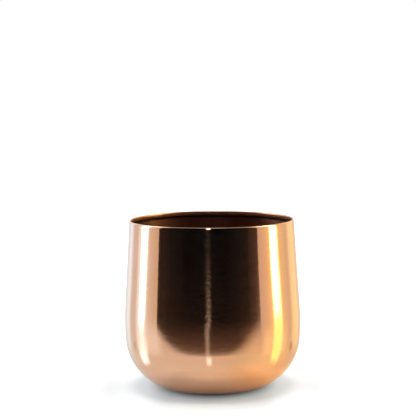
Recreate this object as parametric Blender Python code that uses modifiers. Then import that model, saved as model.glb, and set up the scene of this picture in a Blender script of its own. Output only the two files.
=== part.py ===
"""Round planter pot of thin spun metal, with a lift-out plastic liner and four rubber bumpers.

Units are metres, +Z is up. The origin is on the pot's axis, on the surface that it stands on.
"""
from math import cos, pi, radians, sin, sqrt

import bpy

OBJECT_NAME = "planter_pot"

# Pot: one sheet of metal, spun to shape.
SHEET = 0.0009                  # thickness of the sheet
RIM_RADIUS = 0.0750             # outer radius at the mouth
WALL_TAPER = radians(3.75)      # how far the straight wall leans out as it goes down
WALL_LENGTH = 0.0800            # straight wall, measured along its slope
BELLY_RADIUS = 0.2100           # long arc that turns the wall back in
BELLY_END = radians(4.5)        # slope from vertical where the long arc ends
CORNER_RADIUS = 0.0490          # large rounding down to the base
CORNER_END = radians(62.0)
BASE_EDGE_RADIUS = 0.0200       # smaller rounding into the flat base
HEM_DEPTH = 0.0040              # how far the edge is folded back down inside the mouth

# Bumpers under the flat base.
PAD_COUNT = 4
PAD_RADIUS = 0.0050
PAD_HEIGHT = 0.0015
PAD_CIRCLE = 0.0340             # radius of the circle that the bumpers sit on
PAD_EDGE = 0.0004

# Liner: a thin plastic nursery pot, 130 mm across its rim.
LINER_SHEET = 0.0012
LINER_HEIGHT = 0.1250
LINER_FOOT_RADIUS = 0.0430
LINER_WALL_TOP_RADIUS = 0.0596  # outer radius of the plain wall below the rim band
LINER_BAND_HEIGHT = 0.0140      # height of the wider band at the top
LINER_STEP = 0.0020             # how far the band steps out from the wall
LINER_LIP = 0.0012              # half-round lip on the top edge
LINER_RING_WIDTH = 0.0070       # flat ring that the liner stands on
LINER_FLOOR_RISE = 0.0040       # the floor inside the ring is higher by this
DRAIN_COUNT = 8
DRAIN_RADIUS = 0.0040
DRAIN_CIRCLE = 0.0355

GAP = 0.0003                    # play between neighbouring pieces
POT_FACETS = 64                 # facets round the pot
LINER_FACETS = 48
MERGE = 0.00005

BASE_Z = PAD_HEIGHT + GAP       # underside of the metal base
LINER_Z = BASE_Z + SHEET + GAP  # underside of the liner


def new_collection(name):
    collection = bpy.data.collections.new(name)
    bpy.context.scene.collection.children.link(collection)
    return collection


def make_material(name, color, metallic, roughness):
    material = bpy.data.materials.new(name)
    material.use_nodes = True
    shader = material.node_tree.nodes["Principled BSDF"]
    shader.inputs["Base Color"].default_value = (*color, 1.0)
    shader.inputs["Metallic"].default_value = metallic
    shader.inputs["Roughness"].default_value = roughness
    return material


def arc(center, radius, start, end, steps):
    """Points on an arc in the X-Z plane; angles are measured from +X towards +Z."""
    points = []
    for i in range(steps + 1):
        angle = start + (end - start) * i / steps
        points.append((center[0] + radius * cos(angle), center[1] + radius * sin(angle)))
    return points


def wall_profile(inset):
    """The pot's wall from the mouth down to the flat base, moved in by inset along its normals.

    The straight wall, the long belly arc, the corner arc and the base edge arc follow each
    other with a common tangent, so each arc's centre lies on the line of the last normal.
    """
    top_x = RIM_RADIUS - inset * cos(WALL_TAPER)
    points = [(top_x, -inset * sin(WALL_TAPER))]
    x = RIM_RADIUS + WALL_LENGTH * sin(WALL_TAPER)
    z = -WALL_LENGTH * cos(WALL_TAPER)
    slope = -WALL_TAPER
    stretches = (
        (BELLY_RADIUS, BELLY_END, 4),
        (CORNER_RADIUS, CORNER_END, 12),
        (BASE_EDGE_RADIUS, pi / 2, 5),
    )
    for radius, end_slope, steps in stretches:
        center = (x - radius * cos(slope), z + radius * sin(slope))
        stretch = arc(center, radius - inset, -slope, -end_slope, steps)
        points.extend(stretch if len(points) == 1 else stretch[1:])
        x = center[0] + radius * cos(end_slope)
        z = center[1] - radius * sin(end_slope)
        slope = end_slope
    return points


def pot_height():
    return -wall_profile(0.0)[-1][1]


def on_wall(depth, inset):
    """A point of the straight wall, depth below the mouth along the slope, moved in by inset."""
    x = RIM_RADIUS + depth * sin(WALL_TAPER) - inset * cos(WALL_TAPER)
    z = -depth * cos(WALL_TAPER) - inset * sin(WALL_TAPER)
    return (x, z)


def pot_profile():
    """Closed section of the sheet: inner floor, inner wall, folded hem, outer wall, base."""
    rim_z = BASE_Z + pot_height()
    outer = wall_profile(0.0)
    inner = wall_profile(SHEET)
    fold_center = on_wall(SHEET, SHEET)
    fold = arc(fold_center, SHEET, pi - WALL_TAPER, -WALL_TAPER, 6)
    hem = [on_wall(HEM_DEPTH, SHEET), on_wall(HEM_DEPTH, 2 * SHEET)]
    section = [(0.0, inner[-1][1])]
    section += inner[:0:-1] + hem + fold + outer[1:]
    section.append((0.0, outer[-1][1]))
    return [(x, rim_z + z) for x, z in section]


def liner_profile():
    """Closed section of the liner: floor and wall inside, lip, band, wall and foot outside."""
    lean = (LINER_WALL_TOP_RADIUS - LINER_FOOT_RADIUS) / (LINER_HEIGHT - LINER_BAND_HEIGHT)
    side = LINER_SHEET * sqrt(1.0 + lean * lean)
    foot, floor = LINER_Z, LINER_Z + LINER_FLOOR_RISE
    top = LINER_Z + LINER_HEIGHT
    band_z = top - LINER_BAND_HEIGHT
    ring_in = LINER_FOOT_RADIUS - LINER_RING_WIDTH
    band_x = LINER_WALL_TOP_RADIUS + LINER_STEP
    band_top_x = band_x + lean * LINER_BAND_HEIGHT
    lip_x = band_top_x - side + LINER_LIP
    inside = [
        (0.0, floor + LINER_SHEET),
        (ring_in - LINER_FLOOR_RISE + LINER_SHEET, floor + LINER_SHEET),
        (ring_in + LINER_SHEET, foot + LINER_SHEET),
        (LINER_FOOT_RADIUS - side, foot + LINER_SHEET),
        (LINER_WALL_TOP_RADIUS - side, band_z),
        (band_x - side, band_z + LINER_SHEET),
    ]
    lip = arc((lip_x, top - LINER_LIP), LINER_LIP, pi, -pi / 2, 9)
    outside = [
        (band_top_x - lean * 2 * LINER_LIP, lip[-1][1]),
        (band_x, band_z),
        (LINER_WALL_TOP_RADIUS, band_z - LINER_SHEET),
        (LINER_FOOT_RADIUS, foot),
        (ring_in, foot),
        (ring_in - LINER_FLOOR_RISE, floor),
        (0.0, floor),
    ]
    return inside + lip + outside


def turned(name, profile, steps, collection, material):
    """A solid of revolution about Z from a profile in the X-Z plane."""
    mesh = bpy.data.meshes.new(name)
    vertices = [(x, 0.0, z) for x, z in profile]
    edges = [(i, i + 1) for i in range(len(profile) - 1)]
    mesh.from_pydata(vertices, edges, [])
    piece = bpy.data.objects.new(name, mesh)
    collection.objects.link(piece)
    mesh.materials.append(material)
    screw = piece.modifiers.new("turn", "SCREW")
    screw.axis = "Z"
    screw.angle = 2 * pi
    screw.steps = steps
    screw.render_steps = steps
    screw.use_merge_vertices = True
    screw.merge_threshold = MERGE
    screw.use_smooth_shade = True
    return piece


def make_pot(collection):
    copper = make_material("pot_metal", (0.86, 0.50, 0.33), 1.0, 0.16)
    return turned("pot_shell", pot_profile(), POT_FACETS, collection, copper)


def make_drain_cutters(collection):
    cutters = []
    for i in range(DRAIN_COUNT):
        angle = 2 * pi * (i + 0.5) / DRAIN_COUNT
        place = (DRAIN_CIRCLE * cos(angle), DRAIN_CIRCLE * sin(angle), LINER_Z + LINER_FLOOR_RISE / 2)
        bpy.ops.mesh.primitive_cylinder_add(
            vertices=16, radius=DRAIN_RADIUS, depth=4 * LINER_FLOOR_RISE, location=place)
        cutter = bpy.context.active_object
        cutter.name = f"drain_cutter_{i + 1}"
        cutter.hide_render = True
        cutter.display_type = "WIRE"
        move_to(cutter, collection)
        cutters.append(cutter)
    return cutters


def move_to(piece, collection):
    for owner in list(piece.users_collection):
        owner.objects.unlink(piece)
    collection.objects.link(piece)


def make_liner(collection, cutter_collection):
    plastic = make_material("liner_plastic", (0.035, 0.033, 0.032), 0.0, 0.55)
    liner = turned("inner_liner", liner_profile(), LINER_FACETS, collection, plastic)
    for cutter in make_drain_cutters(cutter_collection):
        cut = liner.modifiers.new(cutter.name, "BOOLEAN")
        cut.operation = "DIFFERENCE"
        cut.solver = "EXACT"
        cut.object = cutter
    return liner


def make_pads(collection):
    rubber = make_material("pad_rubber", (0.05, 0.05, 0.05), 0.0, 0.8)
    for i in range(PAD_COUNT):
        angle = 2 * pi * (i + 0.5) / PAD_COUNT
        place = (PAD_CIRCLE * cos(angle), PAD_CIRCLE * sin(angle), PAD_HEIGHT / 2)
        bpy.ops.mesh.primitive_cylinder_add(
            vertices=24, radius=PAD_RADIUS, depth=PAD_HEIGHT, location=place)
        pad = bpy.context.active_object
        pad.name = f"base_pad_{i + 1}"
        pad.data.name = pad.name
        pad.data.materials.append(rubber)
        edge = pad.modifiers.new("edge", "BEVEL")
        edge.width = PAD_EDGE
        edge.segments = 2
        edge.limit_method = "ANGLE"
        pad.data.shade_smooth()
        pad.data.set_sharp_from_angle(angle=radians(40))
        move_to(pad, collection)


def build():
    for old in list(bpy.data.objects):
        bpy.data.objects.remove(old, do_unlink=True)
    parts = new_collection(OBJECT_NAME)
    cutters = new_collection("cutters")
    make_pot(parts)
    make_liner(parts, cutters)
    make_pads(parts)


build()
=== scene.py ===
"""Looks of the planter pot: spun, brushed and lacquered metal, a moulded liner and rubber bumpers.

Units are metres, +Z is up, and the pot's front is -Y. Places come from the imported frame, and the
sections repeat the sizes that the part was designed with.
"""
from math import cos, pi, radians, sin, sqrt

import bpy
from mathutils import Matrix, Vector


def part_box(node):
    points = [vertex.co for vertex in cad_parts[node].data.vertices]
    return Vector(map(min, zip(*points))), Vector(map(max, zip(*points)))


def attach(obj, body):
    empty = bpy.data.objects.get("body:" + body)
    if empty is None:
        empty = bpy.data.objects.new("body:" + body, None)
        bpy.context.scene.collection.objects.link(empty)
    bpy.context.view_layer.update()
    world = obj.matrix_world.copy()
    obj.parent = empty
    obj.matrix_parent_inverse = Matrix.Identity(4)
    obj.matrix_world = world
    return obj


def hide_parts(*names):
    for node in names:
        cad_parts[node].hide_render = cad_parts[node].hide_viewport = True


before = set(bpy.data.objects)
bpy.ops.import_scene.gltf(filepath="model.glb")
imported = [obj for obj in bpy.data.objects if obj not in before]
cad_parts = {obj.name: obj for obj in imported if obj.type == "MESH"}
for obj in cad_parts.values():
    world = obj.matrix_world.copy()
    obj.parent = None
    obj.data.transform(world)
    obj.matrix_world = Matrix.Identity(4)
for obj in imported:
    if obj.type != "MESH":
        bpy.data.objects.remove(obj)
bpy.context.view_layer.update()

POT_BASE, POT_TOP = (corner.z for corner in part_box("pot_shell"))
LINER_FOOT, LINER_TOP = (corner.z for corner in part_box("inner_liner"))
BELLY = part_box("pot_shell")[1].x            # largest radius

POT_SEGMENTS, LINER_SEGMENTS = 288, 240
PAD_SEGMENTS, DRAIN_SEGMENTS = 64, 32
SAME_POINT = 1e-7                           # points closer than this are one
MOST_OF_SIDE = 0.45                         # a rounding takes up to this share of each side

BLACK, WHITE = (0, 0, 0, 1), (1, 1, 1, 1)


# ---------------------------------------------------------------- meshes

def arc(center, radius, start, end, steps):
    """Points on an arc in the r-z plane; angles are measured from +r towards +z."""
    points = []
    for i in range(steps + 1):
        angle = start + (end - start) * i / steps
        points.append((center[0] + radius * cos(angle), center[1] + radius * sin(angle)))
    return points


def line(start, end, steps):
    """Points on a straight line, without its first one."""
    points = []
    for i in range(1, steps + 1):
        t = i / steps
        points.append((start[0] + (end[0] - start[0]) * t, start[1] + (end[1] - start[1]) * t))
    return points


def rounded(corners, radius, steps=4):
    """A polyline whose inner corners are replaced by small curves of about that radius."""
    points = [corners[0]]
    for before, here, after in zip(corners, corners[1:-1], corners[2:]):
        a, b, c = Vector(before), Vector(here), Vector(after)
        reach = min(radius, (a - b).length * MOST_OF_SIDE, (c - b).length * MOST_OF_SIDE)
        start = b + (a - b).normalized() * reach
        end = b + (c - b).normalized() * reach
        for i in range(steps + 1):
            t = i / steps
            point = start * (1 - t) ** 2 + b * 2 * t * (1 - t) + end * t ** 2
            points.append(tuple(point))
    points.append(corners[-1])
    return points


def with_rows(points, spacing):
    """The same line, with extra points where two of its points are further apart than spacing."""
    dense = [points[0]]
    for start, end in zip(points, points[1:]):
        steps = max(1, round((Vector(end) - Vector(start)).length / spacing))
        dense += line(start, end, steps)
    return dense


def lathe(name, stretches, segments, materials, shape=None):
    """A closed turned mesh. Each stretch is (points, material number); the first and last points
    are on the axis. shape(r, z, angle) may return a slightly moved (r, z)."""
    profile, slots = [], []
    for points, slot in stretches:
        for point in points:
            if profile and (Vector(profile[-1]) - Vector(point)).length < SAME_POINT:
                continue
            if profile:
                slots.append(slot)
            profile.append(point)
    vertices = [(0.0, 0.0, profile[0][1]), (0.0, 0.0, profile[-1][1])]
    rings = profile[1:-1]
    for r, z in rings:
        for k in range(segments):
            angle = 2 * pi * k / segments
            rr, zz = shape(r, z, angle) if shape else (r, z)
            vertices.append((rr * cos(angle), rr * sin(angle), zz))
    faces, face_slots = [], []
    for k in range(segments):
        k2 = (k + 1) % segments
        faces.append((0, 2 + k, 2 + k2))
        face_slots.append(slots[0])
        for i in range(len(rings) - 1):
            a = 2 + i * segments
            b = a + segments
            faces.append((a + k, b + k, b + k2, a + k2))
            face_slots.append(slots[i + 1])
        last = 2 + (len(rings) - 1) * segments
        faces.append((1, last + k2, last + k))
        face_slots.append(slots[-1])
    mesh = bpy.data.meshes.new(name)
    mesh.from_pydata(vertices, [], faces)
    for material in materials:
        mesh.materials.append(material)
    mesh.polygons.foreach_set("material_index", face_slots)
    mesh.shade_smooth()
    mesh.validate()
    piece = bpy.data.objects.new(name, mesh)
    bpy.context.scene.collection.objects.link(piece)
    return piece


def cut(piece, cutters):
    """Take the cutters away from the piece, and leave it as a plain mesh."""
    for cutter in cutters:
        boolean = piece.modifiers.new("drain", "BOOLEAN")
        boolean.object = cutter
        boolean.solver = "EXACT"
    depsgraph = bpy.context.evaluated_depsgraph_get()
    mesh = bpy.data.meshes.new_from_object(piece.evaluated_get(depsgraph))
    piece.modifiers.clear()
    piece.data = mesh
    for cutter in cutters:
        bpy.data.objects.remove(cutter, do_unlink=True)


# ---------------------------------------------------------------- shader nodes

class Graph:
    """Short ways to add and join shader nodes."""

    def __init__(self, tree):
        self.tree = tree

    def add(self, kind, inputs=None, **settings):
        node = self.tree.nodes.new(kind)
        for key, value in settings.items():
            setattr(node, key, value)
        for key, value in (inputs or {}).items():
            self.set(node.inputs[key], value)
        return node

    def set(self, socket, value):
        if isinstance(value, bpy.types.NodeSocket):
            self.tree.links.new(value, socket)
        else:
            socket.default_value = value

    def math(self, operation, a, b=0.0, clamp=False):
        node = self.add("ShaderNodeMath", {0: a, 1: b}, operation=operation, use_clamp=clamp)
        return node.outputs[0]

    def times(self, a, b):
        return self.math("MULTIPLY", a, b)

    def vector(self, operation, a, b=(0.0, 0.0, 0.0)):
        return self.add("ShaderNodeVectorMath", {0: a, 1: b}, operation=operation).outputs[0]

    def length(self, vector):
        node = self.add("ShaderNodeVectorMath", {0: vector}, operation="LENGTH")
        return node.outputs["Value"]

    def smooth(self, value, low, high, to_low=0.0, to_high=1.0):
        """to_low up to low, to_high from high on, and a smooth step between them."""
        node = self.add("ShaderNodeMapRange", {
            "Value": value, "From Min": low, "From Max": high,
            "To Min": to_low, "To Max": to_high}, interpolation_type="SMOOTHSTEP")
        return node.outputs["Result"]

    def window(self, value, low, high, soft):
        """1 between low and high, 0 outside, with soft edges."""
        rise = self.smooth(value, low - soft, low + soft)
        fall = self.smooth(value, high - soft, high + soft)
        return self.math("SUBTRACT", rise, fall, clamp=True)

    def mix(self, factor, a, b, blend="MIX"):
        node = self.add("ShaderNodeMix", data_type="RGBA", blend_type=blend)
        self.set(node.inputs[0], factor)
        self.set(node.inputs[6], a)
        self.set(node.inputs[7], b)
        return node.outputs[2]

    def gray(self, value):
        """The grey of that value, and white from 1 on."""
        return self.mix(value, BLACK, WHITE)

    def noise(self, vector, scale, detail=2.0, roughness=0.5):
        node = self.add("ShaderNodeTexNoise", {
            "Vector": vector, "Scale": scale, "Detail": detail, "Roughness": roughness})
        return node.outputs["Fac"]

    def combine(self, x, y, z):
        return self.add("ShaderNodeCombineXYZ", {0: x, 1: y, 2: z}).outputs[0]

    def separate(self, vector):
        return self.add("ShaderNodeSeparateXYZ", {0: vector}).outputs

    def ramp(self, factor, stops):
        node = self.add("ShaderNodeValToRGB", {"Fac": factor})
        elements = node.color_ramp.elements
        while len(elements) > 1:
            elements.remove(elements[-1])
        for i, (place, color) in enumerate(stops):
            element = elements[0] if i == 0 else elements.new(place)
            element.position = place
            element.color = (*color, 1.0)
        return node.outputs["Color"]

    def glowing(self, color, light, strength):
        """A matt surface of that colour that also gives off light."""
        matt = self.add("ShaderNodeBsdfDiffuse", {"Color": color})
        glow = self.add("ShaderNodeEmission", {"Color": light, "Strength": strength})
        return self.add("ShaderNodeAddShader", {0: matt.outputs[0], 1: glow.outputs[0]}).outputs[0]

    def mix_shaders(self, factor, a, b):
        return self.add("ShaderNodeMixShader", {0: factor, 1: a, 2: b}).outputs[0]


def new_material(name):
    material = bpy.data.materials.new(name)
    material.use_nodes = True
    graph = Graph(material.node_tree)
    shader = material.node_tree.nodes["Principled BSDF"]
    return material, graph, shader


def object_point(graph):
    return graph.add("ShaderNodeTexCoord").outputs["Object"]


def turned_vectors(graph):
    """(direction round the axis, distance along the section): what a lathe tool leaves marks by."""
    x, y, z = graph.separate(object_point(graph))
    flat = graph.combine(x, y, 0.0)
    around = graph.vector("NORMALIZE", flat)
    along = graph.math("ADD", z, graph.length(flat))
    return around, along


def brush_noise(graph, around, along, spread, pitch, detail=2.0):
    """Noise in thin marks that run round the axis, about pitch metres apart. A larger spread
    makes the marks shorter."""
    a = graph.separate(around)
    vector = graph.combine(
        graph.times(a[0], spread),
        graph.times(a[1], spread),
        graph.math("DIVIDE", along, pitch))
    return graph.noise(vector, 1.0, detail)


def bump(graph, height, distance, below=None):
    node = graph.add("ShaderNodeBump", {"Strength": 1.0, "Distance": distance, "Height": height})
    if below is not None:
        graph.set(node.inputs["Normal"], below)
    return node.outputs["Normal"]


def brush_round_axis(graph, shader, amount):
    """Stretch the metal's highlights across brush marks that run round the axis."""
    tangent = graph.add("ShaderNodeTangent", direction_type="RADIAL", axis="Z")
    graph.set(shader.inputs["Tangent"], tangent.outputs[0])
    shader.inputs["Anisotropic"].default_value = amount
    shader.inputs["Anisotropic Rotation"].default_value = 0.25


# ---------------------------------------------------------------- materials

RIGHT_STAIN = {"angle": 60.5, "height": 0.0420, "size": 0.0048}
LEFT_STAIN = {"angle": -60.0, "height": 0.0450, "size": 0.0040}
LEFT_STAIN_STRENGTH = 0.5
STAIN_SQUASH = (1.0, 1.0, 0.6)              # stains are taller than they are wide
FRONT = (-0.99, -0.95)                      # y of the direction round the axis, from front to side
STROKES_FROM, STROKES_TO, STROKES_FADE = 0.056, 0.105, 0.014


def speck(graph, point, angle, height, size):
    """A small upright stain on the belly, angle degrees round from the front."""
    place = (BELLY * sin(radians(angle)), -BELLY * cos(radians(angle)), height)
    away = graph.vector("MULTIPLY", graph.vector("SUBTRACT", point, place), STAIN_SQUASH)
    return graph.smooth(graph.length(away), size * 0.2, size, 1.0, 0.0)


def polished_bumps(graph, around, along, height, lines):
    """The bumps of the polished outside, from the largest to the finest."""
    chatter = brush_noise(graph, around, along, spread=10.0, pitch=0.0030, detail=1.0)
    chatter = graph.times(chatter, graph.smooth(height, 0.045, 0.075, 0.4, 1.0))
    # The front was polished with shorter strokes, which break up the streak of light down it.
    strokes = brush_noise(graph, around, along, spread=24.0, pitch=0.0032, detail=0.0)
    front = graph.smooth(graph.separate(around)[1], *FRONT, 1.0, 0.0)
    part = graph.times(front, graph.window(height, STROKES_FROM, STROKES_TO, STROKES_FADE))
    hair = brush_noise(graph, around, along, spread=9.0, pitch=0.00035, detail=1.0)
    normal = bump(graph, chatter, 0.000030)
    normal = bump(graph, graph.times(strokes, part), 0.000038, normal)
    normal = bump(graph, lines, 0.0000012, normal)
    return bump(graph, hair, 0.0000003, normal)


def polished_copper():
    """The outside: polished, finely brushed round the axis, and lacquered."""
    pale, ruddy = (0.90, 0.525, 0.330, 1), (0.885, 0.500, 0.305, 1)
    lined, tarnish = (0.80, 0.45, 0.28, 1), (0.45, 0.20, 0.09, 1)
    material, graph, shader = new_material("polished_copper")
    point = object_point(graph)
    around, along = turned_vectors(graph)
    cloud = graph.noise(point, 18.0, 3.0)
    lines = brush_noise(graph, around, along, spread=5.0, pitch=0.0011, detail=2.0)
    color = graph.mix(graph.smooth(cloud, 0.35, 0.68), pale, ruddy)
    color = graph.mix(graph.smooth(lines, 0.45, 0.8, 0.0, 0.18), color, lined)
    faint = graph.times(speck(graph, point, **LEFT_STAIN), LEFT_STAIN_STRENGTH)
    stain = graph.math("MAXIMUM", speck(graph, point, **RIGHT_STAIN), faint)
    color = graph.mix(graph.times(stain, 0.65), color, tarnish)
    rough = graph.smooth(lines, 0.3, 0.8, 0.072, 0.105)
    rough = graph.math("ADD", rough, graph.times(stain, 0.15))
    height = graph.separate(point)[2]
    graph.set(shader.inputs["Base Color"], color)
    graph.set(shader.inputs["Roughness"], rough)
    graph.set(shader.inputs["Normal"], polished_bumps(graph, around, along, height, lines))
    brush_round_axis(graph, shader, 0.9)
    shader.inputs["Metallic"].default_value = 1.0
    return material


def satin_copper():
    """The edge that is folded down inside the mouth: rubbed with an abrasive, but not polished."""
    bright, worn = (0.96, 0.45, 0.26, 1), (0.87, 0.38, 0.21, 1)
    material, graph, shader = new_material("satin_copper")
    around, along = turned_vectors(graph)
    cloud = graph.noise(object_point(graph), 60.0, 3.0)
    lines = brush_noise(graph, around, along, spread=6.0, pitch=0.0005)
    color = graph.mix(graph.smooth(cloud, 0.35, 0.68), bright, worn)
    graph.set(shader.inputs["Base Color"], color)
    graph.set(shader.inputs["Roughness"], graph.smooth(lines, 0.3, 0.8, 0.36, 0.46))
    graph.set(shader.inputs["Normal"], bump(graph, lines, 0.0000020))
    shader.inputs["Metallic"].default_value = 1.0
    return material


def aged_copper():
    """The inside of the sheet, left as spun: duller and browner."""
    brown, darker, lined = (0.31, 0.118, 0.066, 1), (0.23, 0.084, 0.048, 1), (0.40, 0.175, 0.100, 1)
    material, graph, shader = new_material("aged_copper")
    around, along = turned_vectors(graph)
    cloud = graph.noise(object_point(graph), 34.0, 4.0, 0.6)
    lines = brush_noise(graph, around, along, spread=4.0, pitch=0.0009, detail=3.0)
    color = graph.mix(graph.smooth(cloud, 0.35, 0.7), brown, darker)
    color = graph.mix(graph.smooth(lines, 0.4, 0.8, 0.0, 0.3), color, lined)
    graph.set(shader.inputs["Base Color"], color)
    graph.set(shader.inputs["Roughness"], graph.smooth(lines, 0.3, 0.75, 0.34, 0.46))
    graph.set(shader.inputs["Normal"], bump(graph, lines, 0.0000040))
    brush_round_axis(graph, shader, 0.6)
    shader.inputs["Metallic"].default_value = 1.0
    return material


def moulded_plastic():
    """Black nursery-pot plastic. Old soil stays on it as a brown film, most of it low down."""
    black, scuffed, soil_brown = (0.016, 0.015, 0.015, 1), (0.028, 0.026, 0.024, 1), (0.090, 0.058, 0.034, 1)
    material, graph, shader = new_material("moulded_plastic")
    point = object_point(graph)
    cloud = graph.noise(point, 26.0, 4.0, 0.6)
    grain = graph.noise(point, 2600.0, 2.0)
    crumbs = graph.noise(point, 320.0, 4.0, 0.65)
    height = graph.separate(point)[2]
    low_down = graph.smooth(height, 0.010, 0.070, 0.55, 0.10)
    soil = graph.times(graph.smooth(crumbs, 0.48, 0.72), low_down)
    color = graph.mix(graph.smooth(cloud, 0.4, 0.75), black, scuffed)
    color = graph.mix(soil, color, soil_brown)
    rough = graph.smooth(cloud, 0.3, 0.7, 0.40, 0.56)
    graph.set(shader.inputs["Base Color"], color)
    graph.set(shader.inputs["Roughness"], graph.math("ADD", rough, graph.times(soil, 0.4)))
    graph.set(shader.inputs["Normal"], bump(graph, grain, 0.00003))
    shader.inputs["Specular IOR Level"].default_value = 0.35
    return material


def bumper_rubber():
    clean, dusty = (0.040, 0.040, 0.041, 1), (0.085, 0.080, 0.075, 1)
    material, graph, shader = new_material("bumper_rubber")
    point = object_point(graph)
    grain = graph.noise(point, 1800.0, 3.0)
    dust = graph.noise(point, 240.0, 3.0)
    graph.set(shader.inputs["Base Color"], graph.mix(graph.smooth(dust, 0.45, 0.75), clean, dusty))
    graph.set(shader.inputs["Roughness"], graph.smooth(dust, 0.3, 0.7, 0.62, 0.85))
    graph.set(shader.inputs["Normal"], bump(graph, grain, 0.00004))
    return material


def pad_adhesive():
    cream, yellowed = (0.55, 0.53, 0.48, 1), (0.42, 0.40, 0.35, 1)
    material, graph, shader = new_material("pad_adhesive")
    specks = graph.noise(object_point(graph), 900.0, 3.0)
    graph.set(shader.inputs["Base Color"], graph.mix(graph.smooth(specks, 0.4, 0.7), cream, yellowed))
    graph.set(shader.inputs["Roughness"], graph.smooth(specks, 0.3, 0.7, 0.35, 0.55))
    return material


# ---------------------------------------------------------------- pot

# Section of the metal sheet, as the part was designed.
SHEET = 0.0009
RIM_RADIUS = 0.0750
WALL_TAPER, WALL_LENGTH = radians(3.75), 0.0800
BELLY_RADIUS, BELLY_END = 0.2100, radians(4.5)
CORNER_RADIUS, CORNER_END = 0.0490, radians(62.0)
BASE_EDGE_RADIUS = 0.0200
HEM_DEPTH = 0.0040

FOLD_OUTSIDE, FOLD_INSIDE = 0.0022, 0.0012  # how far below the top each side starts to turn in
HEM_BULGE, HEM_EDGE = 0.0002, 0.0003        # the hem's lower edge: how far it bulges and rounds off
RIM_REACH = 0.045                           # hand work shows this far below the top
RIM_OVAL, RIM_WAVE, RIM_RIPPLE = 0.00022, 0.00014, 0.00008


def mouth_drop():
    """How much higher than the fold's top the wall's own line would end."""
    return SHEET * (cos(WALL_TAPER) + sin(WALL_TAPER) - 1.0)


def on_wall(depth, inset):
    """A point of the straight wall, depth below the mouth along the slope, moved in by inset."""
    x = RIM_RADIUS + depth * sin(WALL_TAPER) - inset * cos(WALL_TAPER)
    z = POT_TOP + mouth_drop() - depth * cos(WALL_TAPER) - inset * sin(WALL_TAPER)
    return (x, z)


def wall_section(inset, fine):
    """The wall from the mouth to the flat base, moved in by inset: straight, belly, corner, edge."""
    x, z = RIM_RADIUS, POT_TOP + mouth_drop()
    points = [(x - inset * cos(WALL_TAPER), z - inset * sin(WALL_TAPER))]
    x += WALL_LENGTH * sin(WALL_TAPER)
    z -= WALL_LENGTH * cos(WALL_TAPER)
    points += line(points[0], (x - inset * cos(WALL_TAPER), z - inset * sin(WALL_TAPER)), 12 * fine)
    slope = -WALL_TAPER
    for radius, end_slope, steps in (
            (BELLY_RADIUS, BELLY_END, 8), (CORNER_RADIUS, CORNER_END, 20), (BASE_EDGE_RADIUS, pi / 2, 8)):
        center = (x - radius * cos(slope), z + radius * sin(slope))
        points += arc(center, radius - inset, -slope, -end_slope, steps * fine)[1:]
        x = center[0] + radius * cos(end_slope)
        z = center[1] - radius * sin(end_slope)
        slope = end_slope
    return points


def rim_fold(reach, start, end, steps=10):
    """The bend of the folded edge, from its inner side (angle pi) or its top (pi / 2) to its outer."""
    points = []
    for i in range(steps + 1):
        angle = start + (end - start) * i / steps
        points.append(on_wall(reach * (1.0 - sin(angle)), SHEET * (1.0 - cos(angle))))
    return points


def hand_finish(r, z, angle):
    """What spinning and trimming by hand leave: a slightly oval, slightly wavy rim."""
    near_rim = max(0.0, 1.0 - (POT_TOP - z) / RIM_REACH) ** 2
    oval = RIM_OVAL * cos(2 * angle + 0.7) * near_rim
    wave = (RIM_WAVE * sin(3 * angle + 1.1) + RIM_RIPPLE * sin(7 * angle + 0.3)) * near_rim
    return r + oval, z + wave


def make_pot():
    outer = wall_section(0.0, 2)
    inner = wall_section(SHEET, 1)
    inside_fold, outside_fold = rim_fold(FOLD_INSIDE, pi, pi / 2), rim_fold(FOLD_OUTSIDE, pi / 2, 0.0)
    hem_end = [on_wall(HEM_DEPTH, SHEET), on_wall(HEM_DEPTH + HEM_BULGE, 1.35 * SHEET),
               on_wall(HEM_DEPTH, 1.8 * SHEET), on_wall(HEM_DEPTH - HEM_EDGE, 2 * SHEET)]
    below_hem = [p for p in inner[::-1] if p[1] < hem_end[0][1]]
    below_fold = [p for p in outer if p[1] < outside_fold[-1][1] - SHEET / 2]
    floor_z, base_z = inner[-1][1], outer[-1][1]
    polished, aged, satin = 0, 1, 2
    stretches = [
        ([(0.0, floor_z)] + line((0.0, floor_z), inner[-1], 8) + below_hem, aged),
        (hem_end[:1], aged),
        (hem_end[1:] + inside_fold, satin),
        (outside_fold + below_fold + line(outer[-1], (0.0, base_z), 10), polished),
    ]
    finishes = [polished_copper(), aged_copper(), satin_copper()]
    pot = lathe("spun_pot", stretches, POT_SEGMENTS, finishes, hand_finish)
    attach(pot, "pot")
    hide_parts("pot_shell")


# ---------------------------------------------------------------- liner

# Section of the liner, as the part was designed.
LINER_SHEET = 0.0012
LINER_FOOT_RADIUS, LINER_WALL_TOP_RADIUS = 0.0430, 0.0596
LINER_BAND_HEIGHT, LINER_STEP, LINER_LIP = 0.0140, 0.0020, 0.0012
LINER_RING_WIDTH, LINER_FLOOR_RISE = 0.0070, 0.0040
DRAIN_COUNT, DRAIN_RADIUS, DRAIN_CIRCLE = 8, 0.0040, 0.0355

GRIP_RIBS, GRIP_HEIGHT = 40, 0.00035
GRIP_LOW, GRIP_HIGH = 0.0016, 3.2 * LINER_LIP       # how far the ribs stay from the band's edges
RINGS = (0.80, 0.42)                        # raised rings, as shares of the wall's height
RING_HEIGHT, RING_FOOT, RING_CREST = 0.0004, 0.0012, 0.0005
LIP_DROP = 0.0002                           # small step under the lip
INSIDE_ROUND, OUTSIDE_ROUND = 0.0014, 0.0009
LINER_ROWS = 0.0045                         # most that two rows of faces lie apart


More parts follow.
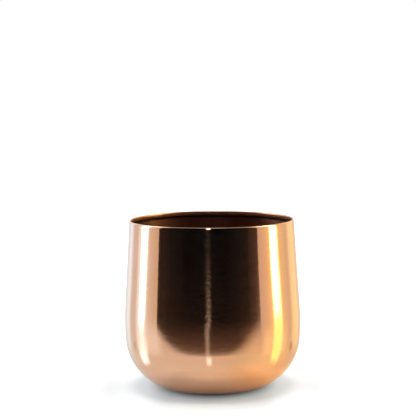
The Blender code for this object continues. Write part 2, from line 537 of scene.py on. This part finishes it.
def liner_section():
    """Floor and wall inside, lip, band, ringed wall and foot outside, with moulded rounding."""
    wall_height = LINER_TOP - LINER_FOOT - LINER_BAND_HEIGHT
    lean = (LINER_WALL_TOP_RADIUS - LINER_FOOT_RADIUS) / wall_height
    side = LINER_SHEET * sqrt(1.0 + lean * lean)
    floor, band_z = LINER_FOOT + LINER_FLOOR_RISE, LINER_TOP - LINER_BAND_HEIGHT
    ring_in = LINER_FOOT_RADIUS - LINER_RING_WIDTH
    band_x = LINER_WALL_TOP_RADIUS + LINER_STEP
    band_top_x = band_x + lean * LINER_BAND_HEIGHT
    inside = [
        (0.0, floor + LINER_SHEET),
        (ring_in - LINER_FLOOR_RISE + LINER_SHEET, floor + LINER_SHEET),
        (ring_in + LINER_SHEET, LINER_FOOT + LINER_SHEET),
        (LINER_FOOT_RADIUS - side, LINER_FOOT + LINER_SHEET),
        (LINER_WALL_TOP_RADIUS - side, band_z),
        (band_x - side, band_z + LINER_SHEET),
        (band_top_x - side, LINER_TOP - LINER_LIP),
    ]
    lip = arc((band_top_x - side + LINER_LIP, LINER_TOP - LINER_LIP), LINER_LIP, pi, -pi / 2, 18)
    band = [lip[-1], (band_top_x - lean * 2 * LINER_LIP, lip[-1][1] - LIP_DROP), (band_x, band_z),
            (LINER_WALL_TOP_RADIUS, band_z - LINER_SHEET)]
    wall = []
    for share in RINGS:
        z = LINER_FOOT + wall_height * share
        x = LINER_FOOT_RADIUS + lean * wall_height * share
        for step, out in ((RING_FOOT, 0.0), (RING_CREST, 1.0), (-RING_CREST, 1.0), (-RING_FOOT, 0.0)):
            wall.append((x + lean * step + RING_HEIGHT * out, z + step))
    foot = [
        (LINER_FOOT_RADIUS, LINER_FOOT),
        (ring_in, LINER_FOOT),
        (ring_in - LINER_FLOOR_RISE, floor),
        (0.0, floor),
    ]
    return rounded(inside, INSIDE_ROUND) + lip[1:-1] + rounded(band + wall + foot, OUTSIDE_ROUND)


def grip(r, z, angle):
    """Fine upright ribs on the outside of the band, for fingers that pull the liner up."""
    low, high = LINER_TOP - LINER_BAND_HEIGHT + GRIP_LOW, LINER_TOP - GRIP_HIGH
    if r < LINER_WALL_TOP_RADIUS + LINER_STEP - LINER_SHEET / 3 or not low < z < high:
        return r, z
    return r + GRIP_HEIGHT * max(0.0, cos(GRIP_RIBS * angle)) ** 2, z


def drain_cutters():
    cutters = []
    for i in range(DRAIN_COUNT):
        angle = 2 * pi * (i + 0.5) / DRAIN_COUNT
        half = 2 * LINER_FLOOR_RISE
        section = [(0.0, half), (DRAIN_RADIUS, half), (DRAIN_RADIUS, -half), (0.0, -half)]
        cutter = lathe(f"drain_cutter_{i + 1}", [(section, 0)], DRAIN_SEGMENTS, [])
        cutter.location = (DRAIN_CIRCLE * cos(angle), DRAIN_CIRCLE * sin(angle), LINER_FOOT)
        cutters.append(cutter)
    return cutters


def make_liner():
    section = with_rows(liner_section(), LINER_ROWS)
    liner = lathe("nursery_liner", [(section, 0)], LINER_SEGMENTS, [moulded_plastic()], grip)
    cut(liner, drain_cutters())
    liner.data.set_sharp_from_angle(angle=radians(50))
    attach(liner, "liner")
    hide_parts("inner_liner")


# ---------------------------------------------------------------- bumpers

PAD_COUNT = 4
ADHESIVE_SHARE = 0.93                       # the adhesive disc's radius, as a share of the bumper's
PAD_DRAFT, PAD_SHOULDER, PAD_TAPER = 0.0002, 0.0006, 0.0001
DIMPLE_OUT, DIMPLE_IN, DIMPLE_DEPTH = 0.42, 0.34, 0.0003    # the first two are shares of the radius
PAD_ROUND = 0.0004


def make_pads():
    """Stick-on bumpers: a moulded rubber button with a dimple, on a thin disc of pale adhesive."""
    rubber, glue = bumper_rubber(), pad_adhesive()
    for i in range(1, PAD_COUNT + 1):
        low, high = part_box(f"base_pad_{i}")
        radius, height = (high.x - low.x) / 2, high.z
        disc = radius * ADHESIVE_SHARE
        top = [(0.0, POT_BASE), (disc, POT_BASE), (disc, height)]
        button = rounded([
            (disc, height), (radius - PAD_DRAFT, height), (radius, height - PAD_SHOULDER),
            (radius - PAD_TAPER, 0.0), (radius * DIMPLE_OUT, 0.0),
            (radius * DIMPLE_IN, DIMPLE_DEPTH), (0.0, DIMPLE_DEPTH)], PAD_ROUND)
        pad = lathe(f"rubber_bumper_{i}", [(top, 1), (button, 0)], PAD_SEGMENTS, [rubber, glue])
        pad.data.set_sharp_from_angle(angle=radians(50))
        pad.location = ((low.x + high.x) / 2, (low.y + high.y) / 2, 0.0)
        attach(pad, "pot")
        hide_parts(f"base_pad_{i}")


# ---------------------------------------------------------------- floor

FLOOR_REACH = 3.0
MIRROR_REACH = (0.080, 0.125)       # the pot mirrors the real floor up to here, then the tent's
# The glow round the pot is painted light on the table.
PAINTED_GLOW_OVAL = 1.1                     # the glow round the pot is this much narrower from side to side
MIRRORED_GRAY = (0.47, 0.47, 0.47, 1)


def painted_table_light(graph, x, reach):
    """Painted light on the table: a glow in place of the light the belly throws back, none at the contact,
    more beside the pot at both sides, and rising to plain white far off.
    """
    # Painted light: none at the pot's contact and growing outwards, then a painted brightening far off.
    near = graph.smooth(reach, 0.035, 0.070, 0.0, 0.37)
    glow = graph.math("ADD", near, graph.smooth(reach, 0.13, 0.50, 0.0, 0.8))
    # Painted light beside the pot, on both sides.
    beside = graph.window(graph.math("ABSOLUTE", x), 0.052, 0.084, 0.014)
    return graph.math("ADD", glow, graph.times(beside, 0.18))


def painted_mirrored_light(graph, x, reach):
    """The colour of the table that the metal mirrors, with painted light: painted warm lamplight on the
    right, and painted ruddy light from the copper near the pot.
    """
    cool, plain, warm = (0.80, 0.80, 0.80, 1), (0.90, 0.88, 0.83, 1), (1.05, 0.82, 0.53, 1)
    close, middle = (1.12, 0.92, 0.84, 1), (1.14, 1.10, 1.10, 1)
    # Painted light: plain grey on the left, painted warm lamplight on the right.
    painted_tint = graph.mix(graph.smooth(x, -0.07, 0.0), cool, plain)
    painted_tint = graph.mix(graph.smooth(x, 0.005, 0.055), painted_tint, warm)
    # Painted ruddy light from the copper close to the pot, fading out further away.
    ruddy = graph.mix(graph.smooth(reach, 0.055, 0.075), close, middle)
    ruddy = graph.mix(graph.smooth(reach, 0.080, 0.095), ruddy, WHITE)
    return graph.mix(1.0, painted_tint, ruddy, "MULTIPLY")


def pale_floor():
    """Two floors in one: what the camera sees, and what the pot mirrors. Both carry painted light from the
    glow round the pot, and the mirrored one is greyer, with painted warm and ruddy light.
    """
    material, graph, shader = new_material("pale_floor")
    material.node_tree.nodes.remove(shader)
    x, y, _ = graph.separate(object_point(graph))
    reach = graph.length(graph.combine(graph.times(x, PAINTED_GLOW_OVAL), y, 0.0))
    glow = painted_table_light(graph, x, reach)
    # The tent's light is warmer on the right, and this table still looks plain grey in the shade.
    shade = graph.mix(graph.smooth(x, -0.12, 0.12), (0.525, 0.52, 0.51, 1), (0.51, 0.52, 0.555, 1))
    # The floor the camera sees: its contact shadow is lightened by painted light from the glow.
    seen = graph.glowing(shade, WHITE, glow)
    painted_tint = painted_mirrored_light(graph, x, reach)
    # The floor the pot mirrors: greyer, with painted warm and ruddy light and the same painted glow.
    near = graph.glowing(graph.mix(1.0, painted_tint, MIRRORED_GRAY, "MULTIPLY"), painted_tint, glow)
    clear = graph.add("ShaderNodeBsdfTransparent").outputs[0]
    mirrored = graph.mix_shaders(graph.smooth(reach, *MIRROR_REACH), near, clear)
    glossy = graph.add("ShaderNodeLightPath").outputs["Is Glossy Ray"]
    surface = graph.mix_shaders(glossy, seen, mirrored)
    graph.set(material.node_tree.nodes["Material Output"].inputs["Surface"], surface)
    return material


def make_floor():
    mesh = bpy.data.meshes.new("floor")
    r = FLOOR_REACH
    mesh.from_pydata([(-r, -r, 0), (r, -r, 0), (r, r, 0), (-r, r, 0)], [], [(0, 1, 2, 3)])
    mesh.materials.append(pale_floor())
    floor = bpy.data.objects.new("floor", mesh)
    bpy.context.scene.collection.objects.link(floor)


# ---------------------------------------------------------------- light tent

# The tent is drawn by direction from the pot, in degrees: turn is 0 at the front and grows to the
# right, and rise is 0 level with the pot and grows upwards. Its colours are linear, 1 is white, and
# the windows and lamps in it are brighter than that.
OPENING, OPENING_SOFT = (-76.5, 64.5), 0.6  # turns between which the tent is open to a dark room
OPENING_END = (50.0, 66.0)                  # rises over which the opening ends above
CEILING_START = (46.0, 62.0)                # rises over which the walls become the ceiling
WALLS_START = (-24.0, -8.0)                 # rises over which the table becomes the walls
EDGE_DROP = 21.5                            # the table's front edge is this far below level in front
EDGE_LEFT = (-71.0, 10.3, 2.9)              # at this turn it is so much higher, by this power of turn
EDGE_RIGHT = (58.0, 11.5, 2.6)
WINDOW, WINDOW_BELOW_SILL = (4.5, 4.6, 4.8, 1), (1.7, 1.75, 2.2, 1)
LAMP_ON_RIGHT, LAMP_ABOVE = (8.0, 7.2, 4.6, 1), (8.0, 8.0, 8.0, 1)


def turn_ramp(graph, turn, stops):
    """A colour for each direction round the tent, from stops of (turn, colour)."""
    place = graph.math("DIVIDE", graph.math("ADD", turn, 180.0), 360.0)
    return graph.ramp(place, [((angle + 180) / 360, color) for angle, color in stops])


def panel(graph, turn, rise, turns, rises, soft):
    """1 inside a rectangle of directions and 0 outside it; soft is (across, up)."""
    return graph.times(graph.window(turn, *turns, soft[0]), graph.window(rise, *rises, soft[1]))


def tent_walls(graph, turn):
    """Cool daylight on the left and warm lamplight on the right, with a broad panel behind each."""
    color = turn_ramp(graph, turn, (
        (-180, (0.80, 0.80, 0.85)), (-160, (0.85, 1.00, 1.15)), (-130, (0.75, 0.80, 0.90)),
        (-95, (0.80, 0.85, 0.95)), (-80, (0.70, 0.65, 0.55)), (65, (0.70, 0.60, 0.55)),
        (75, (0.85, 0.70, 0.55)), (82, (1.05, 0.85, 0.50)), (105, (1.00, 0.85, 0.55)),
        (120, (0.80, 0.70, 0.55)), (160, (0.95, 0.80, 0.60)), (180, (0.80, 0.80, 0.85)),
    ))
    color = graph.mix(graph.window(turn, -151.0, -137.0, 6.0), color, (1.0, 1.35, 1.7, 1))
    return graph.mix(graph.window(turn, 127.0, 149.0, 6.0), color, (1.15, 1.1, 0.7, 1))


def left_window(graph, turn, rise, color):
    """A tall strip of daylight: bright above its sill, dimmer below it, and a leaning foot."""
    glow = panel(graph, turn, rise, turns=(-98.0, -72.0), rises=(-22.0, -9.0), soft=(9.0, 6.0))
    color = graph.mix(glow, color, (0.95, 1.07, 1.20, 1))
    above_foot = graph.smooth(rise, -19.5, -14.5)
    halo = graph.times(graph.window(turn, -118.0, -96.0, 4.0), above_foot)
    color = graph.mix(halo, color, (1.08, 1.30, 1.60, 1))
    # The strip's edge nearer the front moves away from the front on its way down.
    down = graph.math("MAXIMUM", graph.math("MINIMUM", rise, 0.0), -9.0)
    bent = graph.math("SUBTRACT", turn, graph.times(down, 0.42))
    across = graph.times(graph.smooth(turn, -113.0, -109.0), graph.smooth(bent, -99.0, -95.0, 1.0, 0.0))
    daylight = graph.mix(graph.smooth(rise, -11.0, -5.0), WINDOW_BELOW_SILL, WINDOW)
    color = graph.mix(graph.times(across, above_foot), color, daylight)
    lean = graph.math("SUBTRACT", turn, graph.times(rise, 0.6))
    foot = panel(graph, lean, rise, turns=(-104.0, -87.0), rises=(-33.0, -16.0), soft=(5.0, 4.0))
    return graph.mix(foot, color, (2.0, 2.2, 2.8, 1))


def right_lamp(graph, turn, rise, color):
    """A narrow bright lamp that ends at a sill, in a yellow halo that goes on down over the table."""
    glow = panel(graph, turn, rise, turns=(70.0, 111.0), rises=(-24.0, -10.5), soft=(7.0, 4.0))
    color = graph.mix(glow, color, (1.13, 1.03, 0.66, 1))
    lean = graph.math("SUBTRACT", turn, graph.smooth(rise, -20.0, -45.0, 0.0, 10.0))
    lean = graph.math("SUBTRACT", lean, graph.smooth(rise, -4.6, -2.6, 2.0, 0.0))
    halo = graph.times(graph.window(lean, 84.0, 101.0, 2.5), graph.smooth(rise, -42.0, -26.0))
    color = graph.mix(halo, color, (1.9, 1.8, 0.75, 1))
    lamp = graph.times(graph.window(lean, 86.0, 98.0, 2.0), graph.smooth(rise, -5.4, -4.2))
    return graph.mix(lamp, color, LAMP_ON_RIGHT)


def table_top(graph, turn, rise):
    """The far part of the table, mirrored low in the pot, with one bright spot in front."""
    color = turn_ramp(graph, turn, (
        (-180, (0.70, 0.70, 0.65)), (-135, (0.80, 0.90, 0.95)), (-60, (0.80, 0.80, 0.80)),
        (0, (0.80, 0.75, 0.70)), (35, (0.80, 0.75, 0.60)), (80, (1.05, 0.90, 0.60)),
        (105, (1.05, 0.90, 0.60)), (135, (0.90, 0.75, 0.50)), (180, (0.70, 0.70, 0.65)),
    ))
    spot = panel(graph, turn, rise, turns=(-9.0, -2.2), rises=(-42.0, -25.0), soft=(1.8, 6.0))
    return graph.mix(spot, color, (1.3, 1.6, 1.7, 1))


def door_gap(graph, turn, rise):
    """A faint upright gap of light left of the dark room's middle, in a haze."""
    lean = graph.math("ADD", turn, graph.smooth(rise, -9.0, -2.4, 2.3, 0.0))
    gap = graph.times(graph.window(lean, -7.0, -2.4, 2.4), graph.smooth(rise, -3.2, -1.5, 0.30, 0.0))
    haze = graph.window(turn, -10.0, 0.5, 5.0)
    haze = graph.times(haze, graph.smooth(rise, -6.0, -1.0, 0.012, 0.001))
    return graph.math("ADD", gap, haze)


def dark_room(graph, turn, rise):
    """What lies in front of the tent's opening: dark folds, browner low down and on the right."""
    color = turn_ramp(graph, turn, (
        (-75, (0.03, 0.02, 0.02)), (-60, (0.01, 0.01, 0.01)), (-35, (0.0, 0.002, 0.004)),
        (20, (0.0, 0.002, 0.004)), (45, (0.01, 0.01, 0.01)), (60, (0.06, 0.04, 0.03)),
    ))
    folds = graph.noise(graph.combine(graph.times(turn, 0.22), 0.0, 0.0), 1.0, 2.0)
    folds = graph.smooth(folds, 0.30, 0.72, 0.55, 1.75)
    color = graph.mix(1.0, color, graph.gray(folds), "MULTIPLY")
    down = graph.math("MAXIMUM", graph.math("DIVIDE", rise, -17.0), 0.0)
    low = graph.times(graph.math("POWER", down, 1.4), 0.62)
    color = graph.mix(low, color, (0.16, 0.098, 0.072, 1))
    brown = graph.times(graph.smooth(turn, 30.0, 54.0), graph.smooth(rise, -13.0, -2.5, 0.24, 0.0))
    color = graph.mix(brown, color, (0.55, 0.32, 0.21, 1))
    return graph.mix(1.0, color, graph.gray(door_gap(graph, turn, rise)), "ADD")


def table_edge(graph, turn):
    """The rise of the table's front edge in each direction: a straight edge seen from the pot."""
    bends = []
    for full_turn, height, power in (EDGE_LEFT, EDGE_RIGHT):
        part = graph.math("MAXIMUM", graph.math("DIVIDE", turn, full_turn), 0.0)
        bends.append(graph.times(graph.math("POWER", part, power), height))
    return graph.math("SUBTRACT", graph.math("ADD", *bends), EDGE_DROP)


def ceiling(graph, turn):
    """Grey, dark over the opening, and paler again over its middle."""
    color = graph.mix(graph.window(turn, -28.0, 28.0, 9.0), (0.13, 0.11, 0.09, 1), (0.52, 0.50, 0.47, 1))
    return graph.mix(graph.window(turn, -72.0, 60.0, 8.0), (0.40, 0.40, 0.40, 1), color)


def tent(graph, turn, rise):
    """The colour that the tent shows in each direction."""
    table = table_top(graph, turn, rise)
    sides = graph.mix(graph.smooth(rise, *WALLS_START), table, tent_walls(graph, turn))
    sides = left_window(graph, turn, rise, sides)
    sides = right_lamp(graph, turn, rise, sides)
    in_front = graph.times(graph.window(turn, -68.0, 56.0, 10.0), graph.smooth(rise, -13.0, -7.0, 1.0, 0.0))
    color = graph.mix(in_front, sides, table)
    # The edge of the table is sharp in front, and softer towards both sides.
    softness = graph.math(
        "ADD", graph.smooth(turn, 24.0, 54.0, 1.3, 7.0), graph.smooth(turn, -70.0, -45.0, 2.0, 0.0))
    above_edge = graph.math("SUBTRACT", rise, table_edge(graph, turn))
    above_edge = graph.smooth(graph.math("DIVIDE", above_edge, softness), -1.0, 1.0)
    opening = graph.window(turn, *OPENING, OPENING_SOFT)
    opening = graph.times(opening, graph.smooth(rise, *OPENING_END, 1.0, 0.0))
    color = graph.mix(graph.times(opening, above_edge), color, dark_room(graph, turn, rise))
    color = graph.mix(graph.smooth(rise, *CEILING_START), color, ceiling(graph, turn))
    lamp = panel(graph, turn, rise, turns=(-7.5, -2.5), rises=(24.0, 42.0), soft=(1.5, 3.0))
    return graph.mix(lamp, color, LAMP_ABOVE)


def make_world():
    """A light tent, open to a dark room in front; the camera itself sees plain white."""
    world = bpy.data.worlds.new("light_tent")
    bpy.context.scene.world = world
    world.use_nodes = True
    graph = Graph(world.node_tree)
    x, y, z = graph.separate(graph.add("ShaderNodeTexCoord").outputs["Generated"])
    to_degrees = 180 / pi
    turn = graph.times(graph.math("ARCTAN2", x, graph.times(y, -1.0)), to_degrees)
    rise = graph.times(graph.math("ARCSINE", z), to_degrees)
    camera_ray = graph.add("ShaderNodeLightPath").outputs["Is Camera Ray"]
    background = world.node_tree.nodes["Background"]
    graph.set(background.inputs["Color"], graph.mix(camera_ray, tent(graph, turn, rise), WHITE))
    background.inputs["Strength"].default_value = 1.0


# ---------------------------------------------------------------- lamp and camera

SOFTBOX_SIZE, SOFTBOX_POWER = 0.7, 14.0
SOFTBOX_PLACE = (0.0, 0.05, 1.1)
CAMERA_DISTANCE = 1.2
CAMERA_RISE, CAMERA_ROLL = radians(6.05), radians(0.65)     # rise is its angle above level
CAMERA_LENS, CAMERA_SENSOR = 113.7, 36.0                    # in millimetres
CAMERA_SHIFT = (-0.0083, 0.0263)
NEAREST_SEEN, FURTHEST_SEEN = 0.05, 20.0


def make_lights():
    """One soft overhead light. It lights the table, and the metal doesn't mirror it."""
    data = bpy.data.lights.new("overhead_softbox", "AREA")
    data.shape = "SQUARE"
    data.size = SOFTBOX_SIZE
    data.energy = SOFTBOX_POWER
    light = bpy.data.objects.new("overhead_softbox", data)
    light.location = SOFTBOX_PLACE
    light.visible_glossy = False
    bpy.context.scene.collection.objects.link(light)


def make_camera():
    """In front of the pot, and so little above it that the mouth is a narrow ellipse."""
    data = bpy.data.cameras.new("camera")
    data.sensor_width = CAMERA_SENSOR
    data.lens = CAMERA_LENS
    data.shift_x, data.shift_y = CAMERA_SHIFT
    data.clip_start, data.clip_end = NEAREST_SEEN, FURTHEST_SEEN
    camera = bpy.data.objects.new("camera", data)
    aim = Vector((0.0, 0.0, POT_TOP))
    back = Vector((0.0, -cos(CAMERA_RISE), sin(CAMERA_RISE)))
    camera.location = aim + back * CAMERA_DISTANCE
    turn = (-back).to_track_quat("-Z", "Y").to_matrix() @ Matrix.Rotation(-CAMERA_ROLL, 3, "Z")
    camera.rotation_euler = turn.to_euler()
    bpy.context.scene.collection.objects.link(camera)
    bpy.context.scene.camera = camera


bpy.context.scene.view_settings.view_transform = "Standard"
bpy.context.scene.cycles.caustics_reflective = False
make_pot()
make_liner()
make_pads()
make_floor()
make_world()
make_lights()
make_camera()
